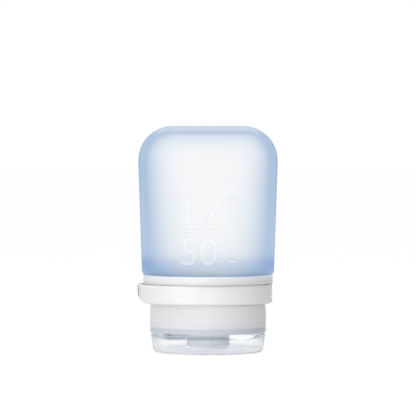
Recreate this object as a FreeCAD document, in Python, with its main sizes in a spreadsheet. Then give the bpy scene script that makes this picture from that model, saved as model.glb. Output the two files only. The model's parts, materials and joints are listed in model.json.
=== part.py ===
import FreeCAD, Part
import os
import Sketcher

# A soft travel bottle that stands upside down on its closed flip lid.
# The origin is the centre of the lid's outer face, +Z points up to the closed end of the bottle.
# Lengths are millimetres and angles are degrees.
sizes = {
    # Clearances and the overrun of every cut
    "running_clearance": 0.08,
    "seat_clearance": 0.05,
    "side_clearance": 0.3,
    "cut_overrun": 2.0,
    # Flip lid: a shallow clear cup with a plug, a thumb scoop and two hinge bosses
    "lid_height": 5.6,
    "lid_plate": 1.8,
    "lid_wall": 1.1,
    "lid_step": 0.15,
    "lid_draft": 0.9,
    "lid_foot_rounding": 1.5,
    "lid_rim_chamfer": 0.2,
    "lid_gap": 0.5,
    "plug_height": 0.9,
    "plug_wall": 0.7,
    "plug_clearance": 0.35,
    "scoop_half_width": 6.6,
    "scoop_depth": 1.2,
    "lid_pivot_inset": 1.95,
    "lid_pivot_drop": 1.3,
    "lid_relief_lead": 0.5,
    "lid_lug_half_width": 2.6,
    "lid_lug_radius": 1.2,
    "lid_peg_radius": 0.65,
    "lid_peg_length": 1.6,
    "lid_boss_radius": 1.2,
    "lid_boss_width": 2.0,
    # Screw cap: skirt, deck and spout, turned about the bottle's axis by the clock angle
    "thread_room": 1.0,
    "cap_wall": 1.6,
    "cap_deck": 1.4,
    "cap_height": 8.9,
    "cap_taper": 0.1,
    "cap_top_rounding": 1.2,
    "cap_foot_rounding": 0.3,
    "cap_clock_angle": 39.0,
    "spout_radius": 6.5,
    "spout_gap": 0.3,
    "spout_lip": 1.5,
    "spout_bore_radius": 4.6,
    "orifice_radius": 3.3,
    # Slit valve and the ring that holds it in the spout
    "valve_flange": 0.9,
    "valve_bore_radius": 2.7,
    "membrane_wall": 0.5,
    "membrane_sag": 0.6,
    "slit_width": 0.2,
    "slit_share": 0.75,
    "retainer_bore_radius": 3.3,
    "retainer_height": 2.7,
    # Flat seal between the cap's deck and the sleeve
    "gasket_thickness": 0.8,
    "gasket_step": 0.4,
    # Rigid sleeve that clamps the silicone lip from inside
    "sleeve_bore_radius": 11.2,
    "sleeve_wall": 1.0,
    "sleeve_flange": 1.0,
    "sleeve_length": 12.5,
    # Collar: flange under the silicone, neck tube and the lug of the swinging loop
    "collar_tube_wall": 1.2,
    "collar_flange": 2.4,
    "collar_overhang": 0.15,
    "groove_depth": 0.3,
    "groove_width": 0.4,
    "lower_groove_share": 0.32,
    "upper_groove_share": 0.68,
    "loop_lug_half_width": 2.8,
    "loop_lug_radius": 1.3,
    "loop_peg_radius": 0.7,
    "loop_peg_length": 1.9,
    # Loop: an oval band that swings down over the cap on two pegs
    "loop_clearance": 0.4,
    "loop_wall": 1.55,
    "loop_nose_wall": 0.65,
    "loop_height": 5.8,
    "loop_lap": 0.1,
    "loop_gap": 0.3,
    "loop_pivot_drop": 2.9,
    "loop_swing_clearance": 0.2,
    "loop_sweep_clearance": 0.25,
    "loop_foot_rounding": 0.9,
    "loop_top_rounding": 0.3,
    "loop_nose_rounding": 4.3,
    "loop_boss_radius": 1.35,
    "loop_boss_width": 2.2,
    "tab_half_width": 5.0,
    "tab_height": 0.15,
    "tab_rounding": 0.4,
    "tab_inset": 0.6,
    # Silicone bottle: round at the shoulder, rounded square at the crown
    "neck_wall": 1.4,
    "lip_thickness": 1.0,
    "lip_margin": 0.1,
    "shoulder_overhang": 0.3,
    "shoulder_flat": 0.4,
    "shoulder_wall": 2.4,
    "shoulder_rounding": 1.3,
    "body_height": 44.9,
    "body_wall": 2.0,
    "crown_half_width": 21.2,
    "crown_corner_radius": 11.3,
    "crown_rounding": 10.75,
    "crown_wall": 2.2,
}

# Sizes and places that follow from the driving ones
derived = {
    # Levels from the lid's outer face upwards
    "spout_foot": "lid_plate + spout_gap",
    "valve_foot": "spout_foot + spout_lip",
    "valve_top": "valve_foot + valve_flange",
    "retainer_top": "valve_top + retainer_height",
    "cap_foot": "lid_height + lid_gap",
    "deck_top": "cap_foot + cap_deck",
    "gasket_top": "deck_top + gasket_thickness",
    "sleeve_seat": "gasket_top + sleeve_flange",
    "sleeve_top": "sleeve_seat + sleeve_length",
    "lip_top": "sleeve_seat + lip_thickness",
    "cap_top": "cap_foot + cap_height",
    "loop_foot": "cap_top - loop_lap",
    "loop_top": "loop_foot + loop_height",
    "collar_foot": "loop_top + loop_gap",
    "shoulder_level": "collar_foot + collar_flange",
    "cavity_foot": "shoulder_level + shoulder_wall",
    "body_top": "shoulder_level + body_height",
    "cavity_top": "body_top - crown_wall",
    "lower_groove_foot": "collar_foot + collar_flange * lower_groove_share - groove_width / 2",
    "lower_groove_top": "lower_groove_foot + groove_width",
    "upper_groove_foot": "collar_foot + collar_flange * upper_groove_share - groove_width / 2",
    "upper_groove_top": "upper_groove_foot + groove_width",
    # Radii from the mouth outwards
    "sleeve_radius": "sleeve_bore_radius + sleeve_wall",
    "neck_bore_radius": "sleeve_radius + seat_clearance",
    "neck_radius": "neck_bore_radius + neck_wall",
    "tube_bore_radius": "neck_radius + seat_clearance",
    "tube_radius": "tube_bore_radius + collar_tube_wall",
    "lip_radius": "tube_radius - lip_margin",
    "cap_bore_radius": "tube_radius + thread_room",
    "cap_radius": "cap_bore_radius + cap_wall",
    "cap_top_radius": "cap_radius - cap_taper",
    "loop_bore_radius": "cap_radius + loop_clearance",
    "loop_radius": "loop_bore_radius + loop_wall",
    "collar_radius": "loop_radius + collar_overhang",
    "groove_radius": "collar_radius - groove_depth",
    "groove_cut_radius": "collar_radius + cut_overrun",
    "shoulder_half_width": "collar_radius + shoulder_overhang",
    "shoulder_corner_radius": "shoulder_half_width - shoulder_flat",
    "gasket_bore_radius": "sleeve_bore_radius + gasket_step",
    "gasket_radius": "cap_bore_radius - side_clearance",
    "valve_radius": "spout_bore_radius - seat_clearance",
    # Lid
    "lid_rim_radius": "cap_radius - lid_step",
    "lid_foot_radius": "lid_rim_radius - lid_draft",
    "lid_bore_radius": "lid_rim_radius - lid_wall",
    "lid_floor_radius": "lid_bore_radius - lid_draft * (lid_height - lid_plate) / lid_height",
    "plug_radius": "orifice_radius - plug_clearance",
    "plug_bore_radius": "plug_radius - plug_wall",
    "plug_top": "lid_plate + plug_height",
    "scoop_radius": "(scoop_half_width ^ 2 + scoop_depth ^ 2) / (2 * scoop_depth)",
    "scoop_center": "lid_height - scoop_depth + scoop_radius",
    "scoop_cut_length": "lid_rim_radius + cut_overrun",
    # Hinge of the lid: a lug with two pegs under the cap's deck, in a notch of the lid
    "lid_pivot_radius": "lid_rim_radius - lid_pivot_inset",
    "lid_pivot_level": "lid_height - lid_pivot_drop",
    "lid_lug_back": "lid_pivot_radius - lid_lug_radius",
    "lid_lug_front": "lid_pivot_radius + lid_lug_radius",
    "lid_lug_root": "cap_foot + cap_deck / 2",
    "lid_lug_width": "2 * lid_lug_half_width",
    "lid_pegs_width": "2 * (lid_lug_half_width + lid_peg_length)",
    "lid_notch_half_width": "lid_lug_half_width + side_clearance",
    "lid_notch_width": "2 * lid_notch_half_width",
    "lid_notch_floor": "lid_pivot_level - lid_lug_radius - side_clearance",
    "lid_notch_back": "lid_pivot_radius - lid_boss_radius - side_clearance",
    "lid_notch_front": "lid_rim_radius + cut_overrun",
    "lid_notch_top": "lid_height + cut_overrun",
    "lid_bosses_width": "2 * (lid_notch_half_width + lid_boss_width)",
    "lid_relief_back": "lid_pivot_radius + lid_relief_lead",
    "lid_relief_foot": "lid_height - (lid_notch_front - lid_relief_back)",
    "lid_relief_width": "2 * lid_rim_radius",
    "lid_socket_radius": "lid_peg_radius + running_clearance",
    "lid_sockets_width": "lid_pegs_width + 2 * running_clearance",
    # Slit valve: a thin spherical membrane in a flange
    "membrane_span": "orifice_radius - seat_clearance",
    "membrane_sphere": "(membrane_span ^ 2 + membrane_sag ^ 2) / (2 * membrane_sag)",
    "membrane_foot": "valve_foot - membrane_sag",
    "membrane_center": "membrane_foot + membrane_sphere",
    "membrane_inside": "membrane_foot + membrane_wall",
    "membrane_edge": "membrane_center - sqrt((membrane_sphere - membrane_wall) ^ 2 - valve_bore_radius ^ 2)",
    "slit_half_width": "slit_width / 2",
    "slit_half_length": "valve_bore_radius * slit_share",
    # Loop: its nose reaches round the lid's foot when it swings about its pegs
    "loop_pivot_reach": "tube_radius + loop_pivot_drop + loop_swing_clearance",
    "loop_pivot_level": "loop_top - loop_pivot_drop",
    "lid_draft_share": "lid_draft / lid_height",
    "lid_foot_center": "lid_foot_radius"
                       " + lid_foot_rounding * (lid_draft_share - sqrt(1 + lid_draft_share ^ 2))",
    "loop_sweep": "sqrt((loop_pivot_reach + lid_foot_center) ^ 2"
                  " + (loop_pivot_level - lid_foot_rounding) ^ 2) + lid_foot_rounding",
    "loop_nose_reach": "loop_sweep - loop_pivot_reach + loop_sweep_clearance",
    "loop_bore_shift": "loop_nose_reach - loop_bore_radius",
    "loop_shift": "loop_nose_reach + loop_nose_wall - loop_radius",
    "tab_root": "loop_nose_reach + loop_nose_wall / 2",
    "tab_end": "loop_nose_reach + loop_nose_wall + tab_height",
    "tab_face": "tab_end - tab_rounding",
    "tab_side": "tab_half_width - tab_rounding",
    "tab_foot": "loop_foot + tab_inset",
    "tab_length": "loop_height - 2 * tab_inset",
    "nose_start": "tab_end - loop_nose_rounding",
    "nose_level": "loop_foot + loop_nose_rounding",
    "nose_cut_end": "tab_end + cut_overrun",
    "nose_cut_foot": "loop_foot - cut_overrun",
    "nose_cut_width": "2 * loop_radius",
    "loop_lug_back": "loop_pivot_reach - loop_lug_radius",
    "loop_lug_front": "loop_pivot_reach + loop_lug_radius",
    "loop_lug_root": "collar_foot + collar_flange / 2",
    "loop_lug_width": "2 * loop_lug_half_width",
    "loop_pegs_width": "2 * (loop_lug_half_width + loop_peg_length)",
    "loop_notch_half_width": "loop_lug_half_width + side_clearance",
    "loop_notch_back": "loop_pivot_reach - loop_boss_radius - side_clearance",
    "loop_notch_front": "loop_radius + cut_overrun",
    "loop_notch_depth": "loop_pivot_drop + loop_lug_radius + side_clearance",
    "loop_bosses_width": "2 * (loop_notch_half_width + loop_boss_width)",
    "loop_socket_radius": "loop_peg_radius + running_clearance",
    "loop_sockets_width": "loop_pegs_width + 2 * running_clearance",
    # Inside of the silicone
    "cavity_foot_half_width": "shoulder_half_width - body_wall",
    "cavity_foot_corner_radius": "shoulder_corner_radius - body_wall",
    "cavity_crown_half_width": "crown_half_width - body_wall",
    "cavity_crown_corner_radius": "crown_corner_radius - body_wall",
    "cavity_rounding": "crown_rounding - body_wall",
    "neck_bore_top": "cavity_foot + body_wall",
}

match_share = 1e-5
full_turn = 360

document = FreeCAD.newDocument("TravelBottle")
sheet = document.addObject("Spreadsheet::Sheet", "Sizes")


def fill_sheet():
    cells = {alias: str(number) for alias, number in sizes.items()}
    cells.update({alias: "=" + formula for alias, formula in derived.items()})
    for row, (alias, text) in enumerate(cells.items(), start=1):
        sheet.set("A%d" % row, alias)
        sheet.set("B%d" % row, text)
        sheet.setAlias("B%d" % row, alias)
    document.recompute()


def size(alias):
    return float(sheet.get(alias))


def bind(target, prop, alias):
    target.setExpression(prop, "Sizes." + alias)


def new_body(label):
    body = document.addObject("PartDesign::Body", "Body_" + label)
    body.Label = label
    return body


def origin_feature(body, role):
    return next(feature for feature in body.Origin.OriginFeatures if feature.Role == role)


def new_sketch(body, name, plane, level=None):
    sketch = body.newObject("Sketcher::SketchObject", body.Label + "_" + name)
    sketch.AttachmentSupport = [(origin_feature(body, plane), "")]
    sketch.MapMode = "FlatFace"
    if level:
        bind(sketch, "AttachmentOffset.Base.z", level)
    return sketch


# A coordinate is the name of a size, the same with a minus sign before it, or nothing for zero
def coordinate(text):
    if not text:
        return 0.0
    return -size(text[1:]) if text.startswith("-") else size(text)


def pin_coordinate(sketch, geometry, point, kind, text):
    if not text:
        axis = -2 if kind == "DistanceX" else -1
        sketch.addConstraint(Sketcher.Constraint("PointOnObject", geometry, point, axis))
        return
    alias = text.lstrip("-")
    ends = (geometry, point, -1, 1) if text.startswith("-") else (-1, 1, geometry, point)
    number = sketch.addConstraint(Sketcher.Constraint(kind, *ends, size(alias)))
    bind(sketch, "Constraints[%d]" % number, alias)


def arc_between(start, end, center, turn):
    normal = FreeCAD.Vector(0, 0, 1)
    radius = start.distanceToPoint(center)
    first, last = (start, end) if turn == "left" else (end, start)
    round_line = Part.Circle(center, normal, radius)
    return Part.ArcOfCircle(round_line, round_line.parameter(first), round_line.parameter(last))


# A closed outline. Each corner is (x, y), or (x, y, (center x, center y, turn)) where an arc leads on.
# A corner that an arc ends at keeps one coordinate free, because the arc's radius sets it.
def draw_outline(sketch, corners):
    points = [FreeCAD.Vector(coordinate(corner[0]), coordinate(corner[1]), 0) for corner in corners]
    count = len(corners)
    ends = []
    for place, corner in enumerate(corners):
        start, end = points[place], points[(place + 1) % count]
        if len(corner) == 2:
            geometry = sketch.addGeometry(Part.LineSegment(start, end))
            ends.append((geometry, 1, 2))
            continue
        center_x, center_y, turn = corner[2]
        center = FreeCAD.Vector(coordinate(center_x), coordinate(center_y), 0)
        geometry = sketch.addGeometry(arc_between(start, end, center, turn))
        pin_coordinate(sketch, geometry, 3, "DistanceX", center_x)
        pin_coordinate(sketch, geometry, 3, "DistanceY", center_y)
        ends.append((geometry, 1, 2) if turn == "left" else (geometry, 2, 1))
    for place, (geometry, first, last) in enumerate(ends):
        following, following_first, _ = ends[(place + 1) % count]
        sketch.addConstraint(Sketcher.Constraint("Coincident", geometry, last, following, following_first))
        before = corners[place - 1]
        kinds = ["DistanceX", "DistanceY"]
        if len(before) == 3:
            center = FreeCAD.Vector(coordinate(before[2][0]), coordinate(before[2][1]), 0)
            arm = points[place] - center
            kinds = ["DistanceY"] if abs(arm.x) > abs(arm.y) else ["DistanceX"]
        for kind in kinds:
            text = corners[place][0] if kind == "DistanceX" else corners[place][1]
            pin_coordinate(sketch, geometry, first, kind, text)


def outline(body, name, plane, corners, level=None):
    sketch = new_sketch(body, name, plane, level)
    draw_outline(sketch, corners)
    document.recompute()
    return sketch


def rectangle(left, right, foot, top):
    return [(left, foot), (right, foot), (right, top), (left, top)]


def circle(body, name, plane, center_x, center_y, radius, level=None):
    sketch = new_sketch(body, name, plane, level)
    center = FreeCAD.Vector(coordinate(center_x), coordinate(center_y), 0)
    normal = FreeCAD.Vector(0, 0, 1)
    geometry = sketch.addGeometry(Part.Circle(center, normal, size(radius)))
    pin_coordinate(sketch, geometry, 3, "DistanceX", center_x)
    pin_coordinate(sketch, geometry, 3, "DistanceY", center_y)
    number = sketch.addConstraint(Sketcher.Constraint("Radius", geometry, size(radius)))
    bind(sketch, "Constraints[%d]" % number, radius)
    document.recompute()
    return sketch


# An oval of two half circles, the left one moved along -X
def oval(body, name, radius, shift, level):
    corners = [
        ("", "-" + radius, ("", "", "left")),
        ("", radius),
        ("-" + shift, radius, ("-" + shift, "", "left")),
        ("-" + shift, "-" + radius),
    ]
    return outline(body, name, "XY_Plane", corners, level)


# A square section with round corners, straight between them
def rounded_square(body, name, half_width, corner_radius, level):
    sketch = new_sketch(body, name, "XY_Plane", level)
    half, inner = size(half_width), size(half_width) - size(corner_radius)
    normal = FreeCAD.Vector(0, 0, 1)
    marks = [(half, -inner), (half, inner), (inner, half), (-inner, half),
             (-half, inner), (-half, -inner), (-inner, -half), (inner, -half)]
    points = [FreeCAD.Vector(x, y, 0) for x, y in marks]
    lines = [sketch.addGeometry(Part.LineSegment(points[i], points[i + 1])) for i in (0, 2, 4, 6)]
    corners = []
    for first, last, across, along in ((1, 2, 1, 1), (3, 4, -1, 1), (5, 6, -1, -1), (7, 0, 1, -1)):
        center = FreeCAD.Vector(across * inner, along * inner, 0)
        round_line = Part.Circle(center, normal, size(corner_radius))
        ends = round_line.parameter(points[first]), round_line.parameter(points[last])
        corners.append(sketch.addGeometry(Part.ArcOfCircle(round_line, *ends)))
    for place, corner in enumerate(corners):
        following = lines[(place + 1) % len(lines)]
        sketch.addConstraint(Sketcher.Constraint("Tangent", lines[place], 2, corner, 1))
        sketch.addConstraint(Sketcher.Constraint("Tangent", corner, 2, following, 1))
    for corner in corners[1:]:
        sketch.addConstraint(Sketcher.Constraint("Equal", corners[0], corner))
    number = sketch.addConstraint(Sketcher.Constraint("Radius", corners[0], size(corner_radius)))
    bind(sketch, "Constraints[%d]" % number, corner_radius)
    for place, line in enumerate(lines):
        sketch.addConstraint(Sketcher.Constraint("Horizontal" if place % 2 else "Vertical", line))
    pin_coordinate(sketch, lines[0], 2, "DistanceX", half_width)
    pin_coordinate(sketch, lines[1], 1, "DistanceY", half_width)
    pin_coordinate(sketch, lines[2], 1, "DistanceX", "-" + half_width)
    pin_coordinate(sketch, lines[3], 1, "DistanceY", "-" + half_width)
    document.recompute()
    return sketch


def finish_feature(body, feature, adds):
    before = body.Shape.Volume if not body.Shape.isNull() else 0.0
    document.recompute()
    change = body.Shape.Volume - before
    if change == 0 or (change > 0) != adds:
        raise RuntimeError("%s changes the volume by %g" % (feature.Name, change))
    return feature


def revolve(body, name, corners):
    sketch = outline(body, name + "_profile", "XZ_Plane", corners)
    feature = body.newObject("PartDesign::Revolution", body.Label + "_" + name)
    feature.Profile = sketch
    feature.ReferenceAxis = (sketch, ["V_Axis"])
    feature.Angle = full_turn
    return finish_feature(body, feature, True)


def groove(body, name, corners):
    sketch = outline(body, name + "_profile", "XZ_Plane", corners)
    feature = body.newObject("PartDesign::Groove", body.Label + "_" + name)
    feature.Profile = sketch
    feature.ReferenceAxis = (sketch, ["V_Axis"])
    feature.Angle = full_turn
    return finish_feature(body, feature, False)


def extrude(body, kind, name, sketch, length, symmetric=False, reverse=False):
    feature = body.newObject("PartDesign::" + kind, body.Label + "_" + name)
    feature.Profile = sketch
    feature.SideType = "Symmetric" if symmetric else "One side"
    feature.Reversed = reverse
    bind(feature, "Length", length)
    return finish_feature(body, feature, kind == "Pad")


# Names of the edges that lie in one level, with their middles between two distances from the axis
def level_edges(body, level, least="", most=""):
    slack = size("body_top") * match_share
    height = coordinate(level)
    nearest = size(least) - slack if least else 0.0
    farthest = size(most) + slack if most else size("body_top")
    found = []
    for number, edge in enumerate(body.Shape.Edges, start=1):
        box = edge.BoundBox
        if abs(box.ZMin - height) > slack or abs(box.ZMax - height) > slack:
            continue
        middle = edge.valueAt((edge.FirstParameter + edge.LastParameter) / 2)
        if nearest <= (middle.x ** 2 + middle.y ** 2) ** 0.5 <= farthest:
            found.append("Edge%d" % number)
    return found


def dress_edges(body, kind, name, edges, length):
    base = body.Tip
    feature = body.newObject("PartDesign::" + kind, body.Label + "_" + name)
    feature.Base = (base, edges)
    bind(feature, "Radius" if kind == "Fillet" else "Size", length)
    document.recompute()
    return feature


def turn_with_cap(body):
    turn = FreeCAD.Rotation(FreeCAD.Vector(0, 0, 1), size("cap_clock_angle"))
    body.Placement = FreeCAD.Placement(FreeCAD.Vector(), turn)
    bind(body, "Placement.Rotation.Angle", "cap_clock_angle")
    document.recompute()


# A hinge lug with a round end in the plane of its swing, and its two pegs
def hinge_lug(body, plane, names, pivot, level):
    back, front, root, width, peg_radius, pegs_width = names
    corners = [
        (back, level, (pivot, level, "left")),
        (front, level),
        (front, root),
        (back, root),
    ]
    extrude(body, "Pad", "lug", outline(body, "lug_outline", plane, corners), width, symmetric=True)
    pegs = circle(body, "peg_circle", plane, pivot, level, peg_radius)
    extrude(body, "Pad", "pegs", pegs, pegs_width, symmetric=True)


# A block that is round below and a rounded square above, with a large rounding round its top
def soft_block(body, names):
    top_half_width, top_corner_radius, top, foot_half_width, foot_corner_radius, foot, rounding = names
    crown = rounded_square(body, "crown_section", top_half_width, top_corner_radius, top)
    shoulder = rounded_square(body, "foot_section", foot_half_width, foot_corner_radius, foot)
    loft = body.newObject("PartDesign::AdditiveLoft", body.Label + "_loft")
    loft.Profile = crown
    loft.Sections = [shoulder]
    finish_feature(body, loft, True)
    dress_edges(body, "Fillet", "crown_rounding", level_edges(body, top), rounding)


def build_silicone_bottle():
    cavity = new_body("cavity")
    soft_block(cavity, ("cavity_crown_half_width", "cavity_crown_corner_radius", "cavity_top",
                        "cavity_foot_half_width", "cavity_foot_corner_radius", "cavity_foot",
                        "cavity_rounding"))
    body = new_body("silicone_bottle")
    soft_block(body, ("crown_half_width", "crown_corner_radius", "body_top",
                      "shoulder_half_width", "shoulder_corner_radius", "shoulder_level",
                      "crown_rounding"))
    dress_edges(body, "Fillet", "shoulder_rounding", level_edges(body, "shoulder_level"), "shoulder_rounding")
    hollow = body.newObject("PartDesign::Boolean", "silicone_bottle_hollow")
    hollow.Type = "Cut"
    hollow.setObjects([cavity])
    finish_feature(body, hollow, False)
    revolve(body, "neck", [
        ("", "sleeve_seat"),
        ("lip_radius", "sleeve_seat"),
        ("lip_radius", "lip_top"),
        ("neck_radius", "lip_top"),
        ("neck_radius", "cavity_foot"),
        ("", "cavity_foot"),
    ])
    groove(body, "neck_bore", rectangle("", "neck_bore_radius", "", "neck_bore_top"))
    return body


def build_collar():
    body = new_body("collar")
    revolve(body, "ring", [
        ("tube_bore_radius", "lip_top"),
        ("tube_radius", "lip_top"),
        ("tube_radius", "collar_foot"),
        ("collar_radius", "collar_foot"),
        ("collar_radius", "shoulder_level"),
        ("tube_bore_radius", "shoulder_level"),
    ])
    for name in ("lower", "upper"):
        foot, top = name + "_groove_foot", name + "_groove_top"
        groove(body, name + "_groove", rectangle("groove_radius", "groove_cut_radius", foot, top))
    names = ("loop_lug_back", "loop_lug_front", "loop_lug_root", "loop_lug_width",
             "loop_peg_radius", "loop_pegs_width")
    hinge_lug(body, "XZ_Plane", names, "loop_pivot_reach", "loop_pivot_level")
    return body


def build_neck_sleeve():
    body = new_body("neck_sleeve")
    revolve(body, "ring", [
        ("sleeve_bore_radius", "gasket_top"),
        ("lip_radius", "gasket_top"),
        ("lip_radius", "sleeve_seat"),
        ("sleeve_radius", "sleeve_seat"),
        ("sleeve_radius", "sleeve_top"),
        ("sleeve_bore_radius", "sleeve_top"),
    ])
    return body


def build_loop_ring():
    body = new_body("loop_ring")
    band = oval(body, "band_outline", "loop_radius", "loop_shift", "loop_foot")
    extrude(body, "Pad", "band", band, "loop_height")
    dress_edges(body, "Fillet", "foot_rounding", level_edges(body, "loop_foot"), "loop_foot_rounding")
    dress_edges(body, "Fillet", "top_rounding", level_edges(body, "loop_top"), "loop_top_rounding")
    tab = outline(body, "tab_outline", "XY_Plane", [
        ("-tab_root", "tab_half_width"),
        ("-tab_face", "tab_half_width", ("-tab_face", "tab_side", "left")),
        ("-tab_end", "tab_side"),
        ("-tab_end", "-tab_side", ("-tab_face", "-tab_side", "left")),
        ("-tab_face", "-tab_half_width"),
        ("-tab_root", "-tab_half_width"),
    ], "tab_foot")
    extrude(body, "Pad", "tab", tab, "tab_length")
    nose = outline(body, "nose_outline", "XZ_Plane", [
        ("-nose_cut_end", "nose_level"),
        ("-nose_cut_end", "nose_cut_foot"),
        ("-nose_start", "nose_cut_foot"),
        ("-nose_start", "loop_foot", ("-nose_start", "nose_level", "right")),
        ("-tab_end", "nose_level"),
    ])
    extrude(body, "Pocket", "nose_rounding", nose, "nose_cut_width", symmetric=True)
    bore = oval(body, "bore_outline", "loop_bore_radius", "loop_bore_shift", "loop_foot")
    extrude(body, "Pocket", "bore", bore, "loop_height", reverse=True)
    boss = circle(body, "boss_circle", "XZ_Plane", "loop_pivot_reach", "loop_pivot_level", "loop_boss_radius")
    extrude(body, "Pad", "bosses", boss, "loop_bosses_width", symmetric=True)
    notch = outline(body, "notch_outline", "XY_Plane",
                    rectangle("loop_notch_back", "loop_notch_front",
                              "-loop_notch_half_width", "loop_notch_half_width"), "loop_top")
    extrude(body, "Pocket", "notch", notch, "loop_notch_depth")
    socket = circle(body, "socket_circle", "XZ_Plane", "loop_pivot_reach", "loop_pivot_level",
                    "loop_socket_radius")
    extrude(body, "Pocket", "sockets", socket, "loop_sockets_width", symmetric=True)
    return body


def build_cap_gasket():
    body = new_body("cap_gasket")
    revolve(body, "ring", rectangle("gasket_bore_radius", "gasket_radius", "deck_top", "gasket_top"))
    return body


def build_cap_shell():
    body = new_body("cap_shell")
    revolve(body, "shell", [
        ("orifice_radius", "spout_foot"),
        ("spout_radius", "spout_foot"),
        ("spout_radius", "cap_foot"),
        ("cap_radius", "cap_foot"),
        ("cap_top_radius", "cap_top"),
        ("cap_bore_radius", "cap_top"),
        ("cap_bore_radius", "deck_top"),
        ("spout_bore_radius", "deck_top"),
        ("spout_bore_radius", "valve_foot"),
        ("orifice_radius", "valve_foot"),
    ])
    dress_edges(body, "Fillet", "top_rounding", level_edges(body, "cap_top", "cap_top_radius"),
                "cap_top_rounding")
    dress_edges(body, "Fillet", "foot_rounding", level_edges(body, "cap_foot", "cap_radius"),
                "cap_foot_rounding")
    names = ("lid_lug_back", "lid_lug_front", "lid_lug_root", "lid_lug_width",
             "lid_peg_radius", "lid_pegs_width")
    hinge_lug(body, "YZ_Plane", names, "lid_pivot_radius", "lid_pivot_level")
    turn_with_cap(body)
    return body


def build_drip_valve():
    body = new_body("drip_valve")
    revolve(body, "membrane", [
        ("valve_radius", "valve_foot"),
        ("valve_radius", "valve_top"),
        ("valve_bore_radius", "valve_top"),
        ("valve_bore_radius", "membrane_edge", ("", "membrane_center", "right")),
        ("", "membrane_inside"),
        ("", "membrane_foot", ("", "membrane_center", "left")),
        ("membrane_span", "valve_foot"),
    ])
    slits = {"long_slit": ("slit_half_length", "slit_half_width"),
             "cross_slit": ("slit_half_width", "slit_half_length")}
    for name, (across, along) in slits.items():
        corners = rectangle("-" + across, across, "-" + along, along)
        slit = outline(body, name + "_outline", "XY_Plane", corners)
        extrude(body, "Pocket", name, slit, "valve_top", reverse=True)
    turn_with_cap(body)
    return body


def build_valve_retainer():
    body = new_body("valve_retainer")
    revolve(body, "ring", rectangle("retainer_bore_radius", "valve_radius", "valve_top", "retainer_top"))
    turn_with_cap(body)
    return body


def build_flip_lid():
    body = new_body("flip_lid")
    revolve(body, "cup", [
        ("", ""),
        ("lid_foot_radius", ""),
        ("lid_rim_radius", "lid_height"),
        ("lid_bore_radius", "lid_height"),
        ("lid_floor_radius", "lid_plate"),
        ("plug_radius", "lid_plate"),
        ("plug_radius", "plug_top"),
        ("plug_bore_radius", "plug_top"),
        ("plug_bore_radius", "lid_plate"),
        ("", "lid_plate"),
    ])
    dress_edges(body, "Chamfer", "rim_chamfer", level_edges(body, "lid_height", "lid_rim_radius"),
                "lid_rim_chamfer")
    dress_edges(body, "Fillet", "foot_rounding", level_edges(body, "", "lid_foot_radius"),
                "lid_foot_rounding")
    scoop = outline(body, "scoop_outline", "XZ_Plane", [
        ("-scoop_half_width", "lid_height", ("", "scoop_center", "left")),
        ("scoop_half_width", "lid_height"),
    ])
    extrude(body, "Pocket", "scoop", scoop, "scoop_cut_length", reverse=True)
    boss = circle(body, "boss_circle", "YZ_Plane", "lid_pivot_radius", "lid_pivot_level", "lid_boss_radius")
    extrude(body, "Pad", "bosses", boss, "lid_bosses_width", symmetric=True)
    relief = outline(body, "relief_outline", "YZ_Plane", [
        ("lid_relief_back", "lid_height"),
        ("lid_notch_front", "lid_relief_foot"),
        ("lid_notch_front", "lid_height"),
    ])
    extrude(body, "Pocket", "hinge_relief", relief, "lid_relief_width", symmetric=True)
    notch = outline(body, "notch_outline", "YZ_Plane",
                    rectangle("lid_notch_back", "lid_notch_front", "lid_notch_floor", "lid_notch_top"))
    extrude(body, "Pocket", "notch", notch, "lid_notch_width", symmetric=True)
    socket = circle(body, "socket_circle", "YZ_Plane", "lid_pivot_radius", "lid_pivot_level",
                    "lid_socket_radius")
    extrude(body, "Pocket", "sockets", socket, "lid_sockets_width", symmetric=True)
    turn_with_cap(body)
    return body


def check_and_write(bodies):
    for item in document.Objects:
        if any(word in item.State for word in ("Invalid", "Error")):
            raise RuntimeError("%s failed: %s" % (item.Name, item.State))
    for body in bodies:
        shape = body.Shape
        if shape.isNull() or not shape.isValid() or len(shape.Solids) != 1:
            raise RuntimeError("%s is not one valid solid" % body.Label)
    os.makedirs("parts", exist_ok=True)
    for body in bodies:
        body.Shape.exportStep(os.path.join("parts", body.Label + ".step"))
        print("%s: %.2f cubic millimetres" % (body.Label, body.Shape.Volume))


fill_sheet()
builders = [
    build_silicone_bottle,
    build_collar,
    build_neck_sleeve,
    build_loop_ring,
    build_cap_gasket,
    build_cap_shell,
    build_drip_valve,
    build_valve_retainer,
    build_flip_lid,
]
check_and_write([build() for build in builders])
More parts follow.
